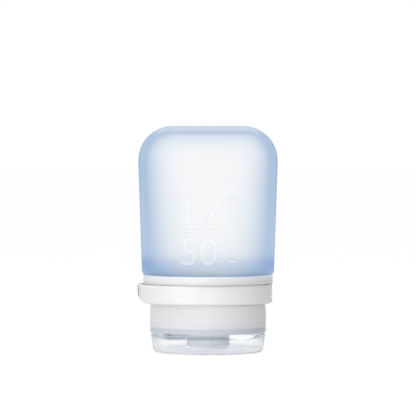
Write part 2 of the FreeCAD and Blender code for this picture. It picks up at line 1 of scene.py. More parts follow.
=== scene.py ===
import bpy
import bmesh
import json
import math
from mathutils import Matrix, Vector

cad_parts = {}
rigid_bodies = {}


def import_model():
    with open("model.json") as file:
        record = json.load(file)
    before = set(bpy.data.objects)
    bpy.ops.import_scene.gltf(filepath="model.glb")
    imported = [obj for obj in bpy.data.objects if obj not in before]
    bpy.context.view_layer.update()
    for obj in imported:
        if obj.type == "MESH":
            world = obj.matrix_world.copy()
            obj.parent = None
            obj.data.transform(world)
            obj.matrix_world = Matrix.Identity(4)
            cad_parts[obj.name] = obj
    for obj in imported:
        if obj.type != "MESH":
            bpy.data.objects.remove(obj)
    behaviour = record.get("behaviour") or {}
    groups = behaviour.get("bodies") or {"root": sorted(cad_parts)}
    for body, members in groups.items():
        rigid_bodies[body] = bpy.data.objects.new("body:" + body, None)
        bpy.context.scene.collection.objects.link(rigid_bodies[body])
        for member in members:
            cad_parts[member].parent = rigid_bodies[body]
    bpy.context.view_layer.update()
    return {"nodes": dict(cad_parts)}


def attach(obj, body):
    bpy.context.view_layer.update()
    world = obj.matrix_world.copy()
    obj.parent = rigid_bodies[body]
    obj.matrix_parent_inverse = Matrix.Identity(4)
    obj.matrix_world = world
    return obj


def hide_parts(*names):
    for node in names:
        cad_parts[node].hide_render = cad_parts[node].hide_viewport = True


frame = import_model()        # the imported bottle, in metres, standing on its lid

cadNodes = frame["nodes"]
print("loaded", len(cadNodes), "nodes")


def addObject(name, data):
    piece = bpy.data.objects.new(name, data)
    bpy.context.scene.collection.objects.link(piece)
    return piece


def dropObject(piece):
    bpy.data.objects.remove(piece, do_unlink=True)


def evaluatedMesh(piece):
    bpy.context.view_layer.update()
    deps = bpy.context.evaluated_depsgraph_get()
    return bpy.data.meshes.new_from_object(piece.evaluated_get(deps))


def applyModifiers(piece):
    baked = evaluatedMesh(piece)
    piece.modifiers.clear()
    piece.data = baked


def smoothByAngle(mesh, degrees):
    for face in mesh.polygons:
        face.use_smooth = True
    mesh.set_sharp_from_angle(angle=math.radians(degrees))


def setMaterial(mesh, material):
    mesh.materials.clear()
    mesh.materials.append(material)


# Node helpers: a socket is fed by another node's output or by a plain value

def feed(tree, socket, source):
    if isinstance(source, bpy.types.NodeSocket):
        tree.links.new(source, socket)
    else:
        socket.default_value = source


def mathNode(tree, operation, first, second):
    node = tree.nodes.new("ShaderNodeMath")
    node.operation = operation
    feed(tree, node.inputs[0], first)
    feed(tree, node.inputs[1], second)
    return node.outputs["Value"]


def noiseNode(tree, place, scale, detail):
    node = tree.nodes.new("ShaderNodeTexNoise")
    feed(tree, node.inputs["Vector"], place)
    feed(tree, node.inputs["Scale"], scale)
    feed(tree, node.inputs["Detail"], detail)
    return node.outputs["Fac"]


# The Mix node repeats its socket names, so these are counted: first value, second value, result
mixSockets = {"RGBA": (6, 7, 2), "FLOAT": (2, 3, 0)}


def mixNode(tree, kind, blend, factor, first, second):
    node = tree.nodes.new("ShaderNodeMix")
    node.data_type = kind
    node.blend_type = blend
    firstSocket, secondSocket, resultSocket = mixSockets[kind]
    feed(tree, node.inputs["Factor"], factor)
    feed(tree, node.inputs[firstSocket], first)
    feed(tree, node.inputs[secondSocket], second)
    return node.outputs[resultSocket]


def rampNode(tree, value, stops):
    ramp = tree.nodes.new("ShaderNodeValToRGB")
    while len(ramp.color_ramp.elements) < len(stops):
        ramp.color_ramp.elements.new(1.0)
    for element, (position, colour) in zip(ramp.color_ramp.elements, stops):
        element.position = position
        element.color = colour
    tree.links.new(value, ramp.inputs["Fac"])
    return ramp.outputs["Color"]


def heightShare(tree, low, high, first, last):
    # Goes from the first value to the last as the height goes from low to high
    place = tree.nodes.new("ShaderNodeTexCoord")
    split = tree.nodes.new("ShaderNodeSeparateXYZ")
    share = tree.nodes.new("ShaderNodeMapRange")
    for label, value in (("From Min", low), ("From Max", high), ("To Min", first), ("To Max", last)):
        share.inputs[label].default_value = value
    tree.links.new(place.outputs["Object"], split.inputs["Vector"])
    tree.links.new(split.outputs["Z"], share.inputs["Value"])
    return share.outputs["Result"]


# The surface that all finishes share: fine mould grain with a slow drift of tone
mouldTexture = {"driftDetail": 3.0, "grainDetail": 2.0, "noiseMiddle": 0.5}


def mouldGrainGroup():
    group = bpy.data.node_groups.new("mouldGrain", "ShaderNodeTree")
    sockets = group.interface
    sockets.new_socket("Tone", in_out="INPUT", socket_type="NodeSocketColor")
    for label in ("Tone Drift", "Drift Scale", "Roughness", "Roughness Spread", "Grain Scale"):
        sockets.new_socket(label, in_out="INPUT", socket_type="NodeSocketFloat")
    sockets.new_socket("Colour", in_out="OUTPUT", socket_type="NodeSocketColor")
    for label in ("Roughness", "Height"):
        sockets.new_socket(label, in_out="OUTPUT", socket_type="NodeSocketFloat")
    given = group.nodes.new("NodeGroupInput").outputs
    result = group.nodes.new("NodeGroupOutput").inputs
    middle = mouldTexture["noiseMiddle"]
    place = group.nodes.new("ShaderNodeTexCoord").outputs["Object"]
    drift = noiseNode(group, place, given["Drift Scale"], mouldTexture["driftDetail"])
    grain = noiseNode(group, place, given["Grain Scale"], mouldTexture["grainDetail"])
    driftShift = mathNode(group, "SUBTRACT", drift, middle)
    grainShift = mathNode(group, "SUBTRACT", grain, middle)
    shade = mathNode(group, "ADD", mathNode(group, "MULTIPLY", driftShift, given["Tone Drift"]), 1.0)
    spread = mathNode(group, "MULTIPLY", grainShift, given["Roughness Spread"])
    group.links.new(mixNode(group, "RGBA", "MULTIPLY", 1.0, given["Tone"], shade), result["Colour"])
    group.links.new(mathNode(group, "ADD", given["Roughness"], spread), result["Roughness"])
    group.links.new(grain, result["Height"])
    return group


mouldGrain = mouldGrainGroup()


def newMaterial(name, grain, bump, values):
    # One Principled shader with the mould grain on colour, roughness and relief; values go on its own sockets
    material = bpy.data.materials.new(name)
    material.use_nodes = True
    tree = material.node_tree
    shader = tree.nodes["Principled BSDF"]
    surface = tree.nodes.new("ShaderNodeGroup")
    surface.node_tree = mouldGrain
    for label, value in grain.items():
        surface.inputs[label].default_value = value
    relief = tree.nodes.new("ShaderNodeBump")
    relief.inputs["Strength"].default_value = bump["strength"]
    relief.inputs["Distance"].default_value = bump["distance"]
    tree.links.new(surface.outputs["Colour"], shader.inputs["Base Color"])
    tree.links.new(surface.outputs["Roughness"], shader.inputs["Roughness"])
    tree.links.new(surface.outputs["Height"], relief.inputs["Height"])
    tree.links.new(relief.outputs["Normal"], shader.inputs["Normal"])
    for label, value in values.items():
        shader.inputs[label].default_value = value
    return material


def addAbsorption(material, colour, density):
    tree = material.node_tree
    volume = tree.nodes.new("ShaderNodeVolumeAbsorption")
    volume.inputs["Color"].default_value = colour
    volume.inputs["Density"].default_value = density
    tree.links.new(volume.outputs["Volume"], tree.nodes["Material Output"].inputs["Volume"])


def tintTone(material, strength, tint):
    # Multiplies what feeds the base colour
    tree = material.node_tree
    colour = tree.nodes["Principled BSDF"].inputs["Base Color"]
    plain = colour.links[0].from_socket
    tree.links.new(mixNode(tree, "RGBA", "MULTIPLY", strength, plain, tint), colour)


def paintOutlineShade(material, fadeFrom, fadeTo, litCrownShare, stops):
    # Painted shade: a wall seen aslant lets less light through, so the see-through tone is painted deeper
    # towards the outline, set by the viewing angle.
    # Between two heights this drops to a share of its strength, which the crown keeps: painted light, lighter
    # where light from above gets into the crown's wall
    tree = material.node_tree
    slant = tree.nodes.new("ShaderNodeLayerWeight")
    strength = heightShare(tree, fadeFrom, fadeTo, 1.0, litCrownShare)
    tintTone(material, strength, rampNode(tree, slant.outputs["Facing"], stops))


def paintSeenThroughShade(material, low, high, stops):
    # Painted shade by height: the tints stand in for what lies behind or inside a see-through wall there, and
    # the shade it takes
    tree = material.node_tree
    shares = [((level - low) / (high - low), colour) for level, colour in stops]
    tintTone(material, 1.0, rampNode(tree, heightShare(tree, low, high, 0.0, 1.0), shares))


def polishUnfrosted(material, tone, roughness):
    # Where the "frost" attribute is 0 the silicone left a polished part of the mould: clearer and smoother
    tree = material.node_tree
    shader = tree.nodes["Principled BSDF"]
    frost = tree.nodes.new("ShaderNodeAttribute")
    frost.attribute_name = "frost"
    for label, kind, polished in (("Base Color", "RGBA", tone), ("Roughness", "FLOAT", roughness)):
        frosted = shader.inputs[label].links[0].from_socket
        mixed = mixNode(tree, kind, "MIX", frost.outputs["Fac"], polished, frosted)
        tree.links.new(mixed, shader.inputs[label])


blueSilicone = newMaterial(
    "blueSilicone",
    {"Tone": (0.97, 0.962, 0.96, 1), "Tone Drift": 0.01, "Drift Scale": 70.0,
     "Roughness": 0.94, "Roughness Spread": 0.1, "Grain Scale": 2600.0},
    {"strength": 0.15, "distance": 0.00005},
    {"IOR": 1.08, "Transmission Weight": 1.0})
addAbsorption(blueSilicone, colour=(0.2, 0.456, 0.72, 1), density=9.0)
# Painted shade: the silicone is painted a deeper blue towards its outline; painted light: the crown keeps
# only 45 percent of that shade
paintOutlineShade(blueSilicone, fadeFrom=0.0655, fadeTo=0.0672, litCrownShare=0.45, stops=(
    (0.0, (1, 1, 1, 1)), (0.1, (0.92, 0.945, 0.97, 1)), (0.2, (0.825, 0.88, 0.932, 1)),
    (0.28, (0.75, 0.82, 0.9, 1)), (0.38, (0.65, 0.75, 0.875, 1)), (0.45, (0.645, 0.755, 0.9, 1))))
# Painted shade: a deeper blue band around the shoulder, standing in for the thicker wall there and the shaded
# cavity floor and collar top seen through it
paintSeenThroughShade(blueSilicone, low=0.02, high=0.04, stops=(
    (0.0237, (0.95, 0.97, 0.99, 1)), (0.0243, (0.84, 0.9, 0.97, 1)), (0.0250, (0.76, 0.85, 0.95, 1)),
    (0.0257, (0.72, 0.81, 0.92, 1)), (0.0267, (0.72, 0.79, 0.9, 1)), (0.0277, (0.74, 0.8, 0.9, 1)),
    (0.0284, (0.83, 0.86, 0.93, 1)), (0.0292, (0.93, 0.945, 0.97, 1)), (0.0302, (0.99, 0.99, 0.995, 1)),
    (0.0330, (1, 1, 1, 1))))
polishUnfrosted(blueSilicone, tone=(0.998, 0.998, 1.0, 1), roughness=0.8)

whitePlastic = newMaterial(
    "whitePlastic",
    {"Tone": (0.96, 0.96, 0.962, 1), "Tone Drift": 0.025, "Drift Scale": 60.0,
     "Roughness": 0.42, "Roughness Spread": 0.12, "Grain Scale": 4200.0},
    {"strength": 0.12, "distance": 0.00003},
    {"IOR": 1.49, "Subsurface Weight": 0.8, "Subsurface Radius": (1.0, 1.0, 1.0), "Subsurface Scale": 0.002})

frostedPlastic = newMaterial(
    "frostedPlastic",
    {"Tone": (0.93, 0.937, 0.95, 1), "Tone Drift": 0.03, "Drift Scale": 120.0,
     "Roughness": 0.4, "Roughness Spread": 0.12, "Grain Scale": 3000.0},
    {"strength": 0.2, "distance": 0.00004},
    {"IOR": 1.3, "Transmission Weight": 0.15})
# Painted see-through shade: a darker bluish band where the deck and gasket lie inside the cap, a faint band
# above it, and slightly darker at the top edge
paintSeenThroughShade(frostedPlastic, low=0.0, high=0.016, stops=(
    (0.0058, (0.9, 0.915, 0.93, 1)), (0.0064, (0.76, 0.79, 0.87, 1)), (0.0076, (0.76, 0.79, 0.87, 1)),
    (0.0081, (1, 1, 1, 1)), (0.0087, (0.95, 0.96, 0.98, 1)), (0.0092, (0.95, 0.96, 0.98, 1)),
    (0.0096, (1, 1, 1, 1)), (0.0135, (1, 1, 1, 1)), (0.0150, (0.95, 0.955, 0.965, 1))))

clearPlastic = newMaterial(
    "clearPlastic",
    {"Tone": (0.975, 0.98, 0.985, 1), "Tone Drift": 0.01, "Drift Scale": 80.0,
     "Roughness": 0.2, "Roughness Spread": 0.05, "Grain Scale": 1800.0},
    {"strength": 0.03, "distance": 0.00003},
    {"IOR": 1.15, "Transmission Weight": 1.0,
     "Sheen Weight": 0.8, "Sheen Roughness": 0.4, "Sheen Tint": (0.55, 0.6, 0.66, 1)})
addAbsorption(clearPlastic, colour=(0.6, 0.66, 0.72, 1), density=10.0)
# Painted see-through shade: a grey band at the lid's floor and a darker blue-grey band near its top rim,
# where the clear plastic is seen edge-on with shaded parts behind it
paintSeenThroughShade(clearPlastic, low=0.0, high=0.007, stops=(
    (0.0002, (0.87, 0.88, 0.895, 1)), (0.0013, (0.87, 0.88, 0.895, 1)), (0.0017, (1, 1, 1, 1)),
    (0.0043, (1, 1, 1, 1)), (0.0047, (0.68, 0.72, 0.765, 1)), (0.0058, (0.68, 0.72, 0.765, 1))))

sealSilicone = newMaterial(
    "sealSilicone",
    {"Tone": (0.42, 0.6, 0.85, 1), "Tone Drift": 0.03, "Drift Scale": 150.0,
     "Roughness": 0.5, "Roughness Spread": 0.1, "Grain Scale": 3000.0},
    {"strength": 0.1, "distance": 0.00003},
    {"IOR": 1.41, "Transmission Weight": 0.6})
print("materials made")

# Nodes that keep their own solid and only take a finish
finishes = {
    "collar": whitePlastic, "neck_sleeve": whitePlastic, "loop_ring": whitePlastic,
    "cap_shell": frostedPlastic, "valve_retainer": frostedPlastic, "flip_lid": clearPlastic,
    "cap_gasket": sealSilicone, "drip_valve": sealSilicone,
}
for nodeName, finish in finishes.items():
    setMaterial(cadNodes[nodeName].data, finish)
print("finishes on", len(finishes), "nodes")

# The soft squeeze body: a closed shell, round at the shoulder and a rounded square at the crown
softBody = {
    "top": 0.0683, "shoulder": 0.0234, "collarGap": 0.00005,
    "crownHalf": 0.0212, "crownCorner": 0.0113, "crownRounding": 0.01075, "crownWall": 0.0025,
    "shoulderHalf": 0.0199, "shoulderCorner": 0.0195, "shoulderRounding": 0.0013, "shoulderFlat": 0.0160,
    "faceWall": 0.0026, "cornerWall": 0.0036, "insideRounding": 0.0078,
    "floor": 0.0238, "floorRounding": 0.002,
    "neckRadius": 0.01365, "neckBore": 0.01225, "lipRadius": 0.0148, "lipFoot": 0.0093, "lipTop": 0.0103,
    "steps": 192, "sideRings": 36, "roundingRings": 16, "shoulderRings": 8, "floorRings": 8, "neckRings": 10,
    "capRings": 6, "sharpAngle": 32,
}


def sectionAt(level):
    # Half width and corner radius of the outside at a height
    share = (level - softBody["shoulder"]) / (softBody["top"] - softBody["shoulder"])
    half = softBody["shoulderHalf"] + share * (softBody["crownHalf"] - softBody["shoulderHalf"])
    corner = softBody["shoulderCorner"] + share * (softBody["crownCorner"] - softBody["shoulderCorner"])
    return half, corner


def insideAt(level):
    # The inside is rounder than the outside, so the wall is thin on the faces and thick at the corners
    half, corner = sectionAt(level)
    inside = half - softBody["faceWall"]
    diagonal = (half - corner) * math.sqrt(2) + corner - softBody["cornerWall"]
    return inside, min(inside, (inside * math.sqrt(2) - diagonal) / (math.sqrt(2) - 1))


def neckSection(radius):
    return lambda level: (radius, radius)


def reach(half, corner, angle):
    # Distance from the axis to a rounded square, along a direction
    across, along = sorted((abs(math.cos(angle)), abs(math.sin(angle))))[::-1]
    inner = half - corner
    if half * along <= inner * across:
        return half / across
    lean = inner * (across + along)
    return lean + math.sqrt(lean * lean - 2 * inner * inner + corner * corner)


def roundRing(radius, level):
    return radius, radius, level


def discRings(half, corner, level):
    # Rings that close a flat end, from near its middle outwards
    count = softBody["capRings"]
    return [(half * i / count, corner * i / count, level) for i in range(1, count)]


def roundingRings(section, start, radius, count):
    # Rings that leave a wall and turn in by a quarter: upwards, or downwards for a negative radius
    rings = []
    for i in range(1, count + 1):
        turn = math.pi / 2 * i / count
        level = start + radius * math.sin(turn)
        half, corner = section(level)
        step = abs(radius) * (1 - math.cos(turn))
        rings.append((half - step, corner - step, level))
    return rings


def straightRings(section, start, end, count):
    levels = [start + (end - start) * i / count for i in range(count + 1)]
    return [(*section(level), level) for level in levels]


def insideRings():
    # From the middle of the cavity's ceiling down its wall, over its floor and out at the neck
    size = softBody
    ceiling = size["top"] - size["crownWall"]
    wallTop = ceiling - size["insideRounding"]
    wallFoot = size["floor"] + size["floorRounding"]
    crown = roundingRings(insideAt, wallTop, size["insideRounding"], size["roundingRings"])[::-1]
    wall = straightRings(insideAt, wallTop, wallFoot, size["sideRings"])
    floor = roundingRings(insideAt, wallFoot, -size["floorRounding"], size["floorRings"])
    neck = straightRings(neckSection(size["neckBore"]), size["floor"], size["lipFoot"], size["neckRings"])
    return discRings(*crown[0]) + crown + wall + floor + neck


def outsideRings():
    # Round the lip, up the neck, under the shoulder and up the outside to the middle of the crown
    size = softBody
    foot = size["shoulder"] + size["collarGap"]
    wallFoot = foot + size["shoulderRounding"]
    wallTop = size["top"] - size["crownRounding"]
    lip = [roundRing(size["lipRadius"], size["lipFoot"]), roundRing(size["lipRadius"], size["lipTop"])]
    neck = straightRings(neckSection(size["neckRadius"]), size["lipTop"], foot, size["neckRings"])
    under = [roundRing(size["shoulderFlat"], foot)]
    shoulder = roundingRings(sectionAt, wallFoot, -size["shoulderRounding"], size["shoulderRings"])[::-1]
    wall = straightRings(sectionAt, wallFoot, wallTop, size["sideRings"])
    crown = roundingRings(sectionAt, wallTop, size["crownRounding"], size["roundingRings"])
    return lip + neck + under + shoulder + wall + crown + discRings(*crown[-1])[::-1]


def softShellMesh():
    rings = insideRings() + outsideRings()
    steps = softBody["steps"]
    angles = [math.tau * (i + 0.5) / steps for i in range(steps)]  # half a step off the axes
    points = [(0, 0, rings[0][2])]
    for half, corner, level in rings:
        for angle in angles:
            far = reach(half, corner, angle)
            points.append((far * math.cos(angle), far * math.sin(angle), level))
    points.append((0, 0, rings[-1][2]))
    last = len(points) - 1
    faces = []
    for i in range(steps):
        following = (i + 1) % steps
        faces.append((0, 1 + following, 1 + i))
        faces.append((last, last - steps + i, last - steps + following))
    for ring in range(len(rings) - 1):
        low = 1 + ring * steps
        high = low + steps
        for i in range(steps):
            following = (i + 1) % steps
            faces.append((low + i, low + following, high + following, high + i))
    mesh = bpy.data.meshes.new("softBody")
    mesh.from_pydata(points, [], faces)
    mesh.validate()
    return mesh


# Raised capacity numbers on the front face, with a bar between them and plain ticks beside them
bodyNumbers = {
    "raise": 0.00035, "sink": 0.0004, "seat": 0.00005, "slope": 0.00018, "slice": 0.0005,
    "one": ((-0.0070, 0.0389), (-0.0053, 0.0389), (-0.0053, 0.0472), (-0.0067, 0.0472), (-0.0089, 0.0452),
            (-0.0081, 0.0442), (-0.0070, 0.0452)),
    "upper": {"text": ".7", "left": -0.0042, "right": 0.0045, "foot": 0.0389, "top": 0.0472},
    "lower": {"text": "50", "left": -0.0082, "right": 0.0029, "foot": 0.0268, "top": 0.0354},
    "bar": {"left": -0.0093, "right": 0.0085, "foot": 0.0366, "top": 0.0374},
    "ticks": {"left": 0.0056, "right": 0.0085, "width": 0.0008,
              "levels": (0.0400, 0.0432, 0.0464, 0.0277, 0.0309, 0.0341)},
    "weight": 0.02, "digitSlope": 0.016, "halfDepth": 0.5, "curveSteps": 6,  # in the font's own units
    "mergeGap": 1e-6, "cutGap": 1e-7,
}


def frontDepth(across, level):
    # How far the outside of the front face lies from the axis
    half, corner = sectionAt(level)
    past = max(0.0, abs(across) - (half - corner))
    return half - corner + math.sqrt(corner * corner - past * past)


def flatText(entry):
    curve = bpy.data.curves.new("bodyNumber", "FONT")
    curve.body = entry["text"]
    curve.offset = bodyNumbers["weight"] - bodyNumbers["digitSlope"]
    curve.bevel_depth = bodyNumbers["digitSlope"]
    curve.bevel_resolution = 0
    curve.extrude = bodyNumbers["halfDepth"]
    curve.resolution_u = bodyNumbers["curveSteps"]
    piece = addObject("bodyNumber", curve)
    mesh = evaluatedMesh(piece)
    dropObject(piece)
    acrosses = [vertex.co.x for vertex in mesh.vertices]
    heights = [vertex.co.y for vertex in mesh.vertices]
    left, foot = min(acrosses), min(heights)
    wide, tall = max(acrosses) - left, max(heights) - foot
    for vertex in mesh.vertices:
        across = entry["left"] + (vertex.co.x - left) / wide * (entry["right"] - entry["left"])
        height = entry["foot"] + (vertex.co.y - foot) / tall * (entry["top"] - entry["foot"])
        vertex.co = Vector((across, height, vertex.co.z))
    return mesh


def insetCorner(before, corner, after, inset):
    # The corner of a flat shape after its two sides have moved in
    into = (Vector(corner) - Vector(before)).normalized()
    out = (Vector(after) - Vector(corner)).normalized()
    inwards = Vector((-into.y, into.x)) + Vector((-out.y, out.x))
    return Vector(corner) + inwards * (inset * 2 / inwards.length_squared)


def flatShape(outline):
    # A flat shape with sloping sides, in the same three layers as the numbers: back, seat and top
    count = len(outline)
    depth = bodyNumbers["halfDepth"]
    corners = []
    for layer, inset in ((-depth, 0), (depth, 0), (depth + bodyNumbers["digitSlope"], bodyNumbers["slope"])):
        for i in range(count):
            moved = insetCorner(outline[i - 1], outline[i], outline[(i + 1) % count], inset)
            corners.append((moved.x, moved.y, layer))
    faces = [tuple(range(count))[::-1], tuple(range(2 * count, 3 * count))]
    for low in (0, count):
        for i in range(count):
            following = (i + 1) % count
            faces.append((low + i, low + following, low + count + following, low + count + i))
    mesh = bpy.data.meshes.new("bodyShape")
    mesh.from_pydata(corners, [], faces)
    return mesh


def flatBar(left, right, foot, top):
    return flatShape(((left, foot), (right, foot), (right, top), (left, top)))


def markHeight(layer):
    # How far a layer of the flat marks ends up outside the front
    if layer < 0:
        return -bodyNumbers["sink"]
    if layer > bodyNumbers["halfDepth"] + bodyNumbers["digitSlope"] / 2:
        return bodyNumbers["raise"]
    return -bodyNumbers["seat"]


def numbersMesh():
    # All raised marks as one mesh, sliced into narrow strips and laid on the curved front
    ticks = bodyNumbers["ticks"]
    marks = [flatShape(bodyNumbers["one"]), flatText(bodyNumbers["upper"]), flatText(bodyNumbers["lower"]),
             flatBar(**bodyNumbers["bar"])]
    for level in ticks["levels"]:
        marks.append(flatBar(ticks["left"], ticks["right"], level, level + ticks["width"]))
    work = bmesh.new()
    for mark in marks:
        work.from_mesh(mark)
    bmesh.ops.remove_doubles(work, verts=work.verts, dist=bodyNumbers["mergeGap"])
    bmesh.ops.recalc_face_normals(work, faces=work.faces)
    left = min(vertex.co.x for vertex in work.verts)
    right = max(vertex.co.x for vertex in work.verts)
    cuts = int((right - left) / bodyNumbers["slice"])
    for i in range(1, cuts):
        cut = Vector((left + (right - left) * i / cuts, 0, 0))
        bmesh.ops.bisect_plane(work, geom=work.verts[:] + work.edges[:] + work.faces[:],
                               dist=bodyNumbers["cutGap"], plane_co=cut, plane_no=Vector((1, 0, 0)))
    for vertex in work.verts:
        across, level, layer = vertex.co
        vertex.co = Vector((across, -frontDepth(across, level) - markHeight(layer), level))
    bmesh.ops.recalc_face_normals(work, faces=work.faces)
    mesh = bpy.data.meshes.new("bodyNumbers")
    work.to_mesh(mesh)
    work.free()
    return mesh


def markFrost(mesh):
    # 1 on the frosted outside, 0 on the smooth inside and on the polished tops of the raised marks
    middle = Vector((0, 0, (softBody["shoulder"] + softBody["top"]) / 2))
    marksEnd = bodyNumbers["bar"]["right"] + bodyNumbers["raise"]
    frost = mesh.attributes.new("frost", "FLOAT", "POINT")
    for vertex in mesh.vertices:
        outside = vertex.normal.dot(vertex.co - middle) > 0
        front = frontDepth(min(abs(vertex.co.x), marksEnd), vertex.co.z)
        proud = -vertex.co.y - front > bodyNumbers["raise"] / 2
        frost.data[vertex.index].value = 1.0 if outside and not proud else 0.0


def makeSoftBody():
    piece = addObject("squeezeBody", softShellMesh())
    marks = addObject("bodyNumbers", numbersMesh())
    join = piece.modifiers.new("numbers", "BOOLEAN")
    join.operation = "UNION"
    join.solver = "EXACT"
    join.object = marks
    applyModifiers(piece)
    dropObject(marks)
    markFrost(piece.data)
    smoothByAngle(piece.data, softBody["sharpAngle"])
    setMaterial(piece.data, blueSilicone)
    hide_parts("silicone_bottle")
    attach(piece, "bottle")
    return piece


squeezeBody = makeSoftBody()
print("squeeze body:", len(squeezeBody.data.polygons), "faces")

# Geometry node trees for what repeats, grip ribs and screw threads, which are both tubes with tapered ends
tubeDetail = {
    "sides": 10, "endSize": 0.25, "sharpAngle": 40,
    "ribPoints": 8, "ribTaper": 0.12, "threadPoints": 96, "threadTaper": 0.06,
}


def newTree(name, inputs):
    tree = bpy.data.node_groups.new(name, "GeometryNodeTree")
    tree.interface.new_socket("Geometry", in_out="OUTPUT", socket_type="NodeSocketGeometry")
    for label, kind in inputs:
        tree.interface.new_socket(label, in_out="INPUT", socket_type=kind)
    return tree, tree.nodes.new("NodeGroupInput").outputs, tree.nodes.new("NodeGroupOutput").inputs


def finishTree(tree, given, result, geometry):
    realize = tree.nodes.new("GeometryNodeRealizeInstances")
    paint = tree.nodes.new("GeometryNodeSetMaterial")
    tree.links.new(geometry, realize.inputs["Geometry"])
    tree.links.new(realize.outputs["Geometry"], paint.inputs["Geometry"])
    tree.links.new(given["Material"], paint.inputs["Material"])
    tree.links.new(paint.outputs["Geometry"], result["Geometry"])


def atHeight(tree, height):
    place = tree.nodes.new("ShaderNodeCombineXYZ")
    tree.links.new(height, place.inputs["Z"])
    return place.outputs["Vector"]


def taperedTube(tree, curve, thickness, taper):
    # A tube along a curve that thins out towards both ends
    factor = tree.nodes.new("GeometryNodeSplineParameter").outputs["Factor"]
    nearEnd = mathNode(tree, "MINIMUM", factor, mathNode(tree, "SUBTRACT", 1.0, factor))
    grown = mathNode(tree, "ADD", mathNode(tree, "DIVIDE", nearEnd, taper), tubeDetail["endSize"])
    radius = tree.nodes.new("GeometryNodeSetCurveRadius")
    tree.links.new(curve, radius.inputs["Curve"])
    tree.links.new(mathNode(tree, "MINIMUM", grown, 1.0), radius.inputs["Radius"])
    ring = tree.nodes.new("GeometryNodeCurvePrimitiveCircle")
    ring.inputs["Resolution"].default_value = tubeDetail["sides"]
    tree.links.new(thickness, ring.inputs["Radius"])
    sweep = tree.nodes.new("GeometryNodeCurveToMesh")
    sweep.inputs["Fill Caps"].default_value = True
    tree.links.new(radius.outputs["Curve"], sweep.inputs["Curve"])
    tree.links.new(ring.outputs["Curve"], sweep.inputs["Profile Curve"])
    tree.links.new(tree.nodes.new("GeometryNodeInputRadius").outputs["Radius"], sweep.inputs["Scale"])
    return sweep.outputs["Mesh"]


def ribTree():
    tree, given, result = newTree("gripRibs", [
        ("Count", "NodeSocketInt"), ("Radius", "NodeSocketFloat"), ("Foot", "NodeSocketFloat"),
        ("Top", "NodeSocketFloat"), ("Rib Radius", "NodeSocketFloat"), ("Material", "NodeSocketMaterial")])
    line = tree.nodes.new("GeometryNodeCurvePrimitiveLine")
    tree.links.new(atHeight(tree, given["Foot"]), line.inputs["Start"])
    tree.links.new(atHeight(tree, given["Top"]), line.inputs["End"])
    fine = tree.nodes.new("GeometryNodeResampleCurve")
    fine.inputs["Count"].default_value = tubeDetail["ribPoints"]
    tree.links.new(line.outputs["Curve"], fine.inputs["Curve"])
    rib = taperedTube(tree, fine.outputs["Curve"], given["Rib Radius"], tubeDetail["ribTaper"])
    circle = tree.nodes.new("GeometryNodeMeshCircle")
    tree.links.new(given["Count"], circle.inputs["Vertices"])
    tree.links.new(given["Radius"], circle.inputs["Radius"])
    place = tree.nodes.new("GeometryNodeInstanceOnPoints")
    tree.links.new(circle.outputs["Mesh"], place.inputs["Points"])
    tree.links.new(rib, place.inputs["Instance"])
    finishTree(tree, given, result, place.outputs["Instances"])
    return tree


def threadTree():
    tree, given, result = newTree("screwThread", [
        ("Starts", "NodeSocketInt"), ("Radius", "NodeSocketFloat"), ("Foot", "NodeSocketFloat"),
        ("Turns", "NodeSocketFloat"), ("Rise", "NodeSocketFloat"), ("Ridge Radius", "NodeSocketFloat"),
        ("Material", "NodeSocketMaterial")])
    spiral = tree.nodes.new("GeometryNodeCurveSpiral")
    spiral.inputs["Resolution"].default_value = tubeDetail["threadPoints"]
    tree.links.new(given["Turns"], spiral.inputs["Rotations"])
    tree.links.new(given["Radius"], spiral.inputs["Start Radius"])
    tree.links.new(given["Radius"], spiral.inputs["End Radius"])
    tree.links.new(given["Rise"], spiral.inputs["Height"])
    ridge = taperedTube(tree, spiral.outputs["Curve"], given["Ridge Radius"], tubeDetail["threadTaper"])
    starts = tree.nodes.new("GeometryNodePoints")
    tree.links.new(given["Starts"], starts.inputs["Count"])
    tree.links.new(atHeight(tree, given["Foot"]), starts.inputs["Position"])
    index = tree.nodes.new("GeometryNodeInputIndex").outputs["Index"]
    share = mathNode(tree, "DIVIDE", index, given["Starts"])
    turn = tree.nodes.new("ShaderNodeCombineXYZ")
    tree.links.new(mathNode(tree, "MULTIPLY", share, math.tau), turn.inputs["Z"])
    place = tree.nodes.new("GeometryNodeInstanceOnPoints")
    tree.links.new(starts.outputs["Points"], place.inputs["Points"])
    tree.links.new(ridge, place.inputs["Instance"])
    tree.links.new(turn.outputs["Vector"], place.inputs["Rotation"])
    finishTree(tree, given, result, place.outputs["Instances"])
    return tree


def treePiece(name, tree, values):
    # Runs a tree on an empty mesh and keeps the result as a plain mesh
    piece = addObject(name, bpy.data.meshes.new(name))
    modifier = piece.modifiers.new(name, "NODES")
    modifier.node_group = tree
    labels = {item.name: item.identifier for item in tree.interface.items_tree if item.in_out == "INPUT"}
    for label, value in values.items():
        modifier[labels[label]] = value
    applyModifiers(piece)
    smoothByAngle(piece.data, tubeDetail["sharpAngle"])
    setMaterial(piece.data, values["Material"])
    return piece


gripRibs = {"Count": 126, "Radius": 0.0173, "Foot": 0.0079, "Top": 0.0134, "Rib Radius": 0.0002}
ribs = treePiece("gripRibs", ribTree(), {**gripRibs, "Material": frostedPlastic})
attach(ribs, "cap")

screwThread = {"Starts": 2, "Turns": 1.05, "Rise": 0.0042, "Ridge Radius": 0.00062}
neckRidge = {**screwThread, "Radius": 0.0149, "Foot": 0.0108, "Material": whitePlastic}
capRidge = {**screwThread, "Radius": 0.01592, "Foot": 0.0098, "Material": frostedPlastic}
ridges = threadTree()
neckThread = treePiece("neckThread", ridges, neckRidge)
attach(neckThread, "bottle")
capThread = treePiece("capThread", ridges, capRidge)
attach(capThread, "cap")
print("ribs and threads:", len(ribs.data.polygons), len(neckThread.data.polygons))

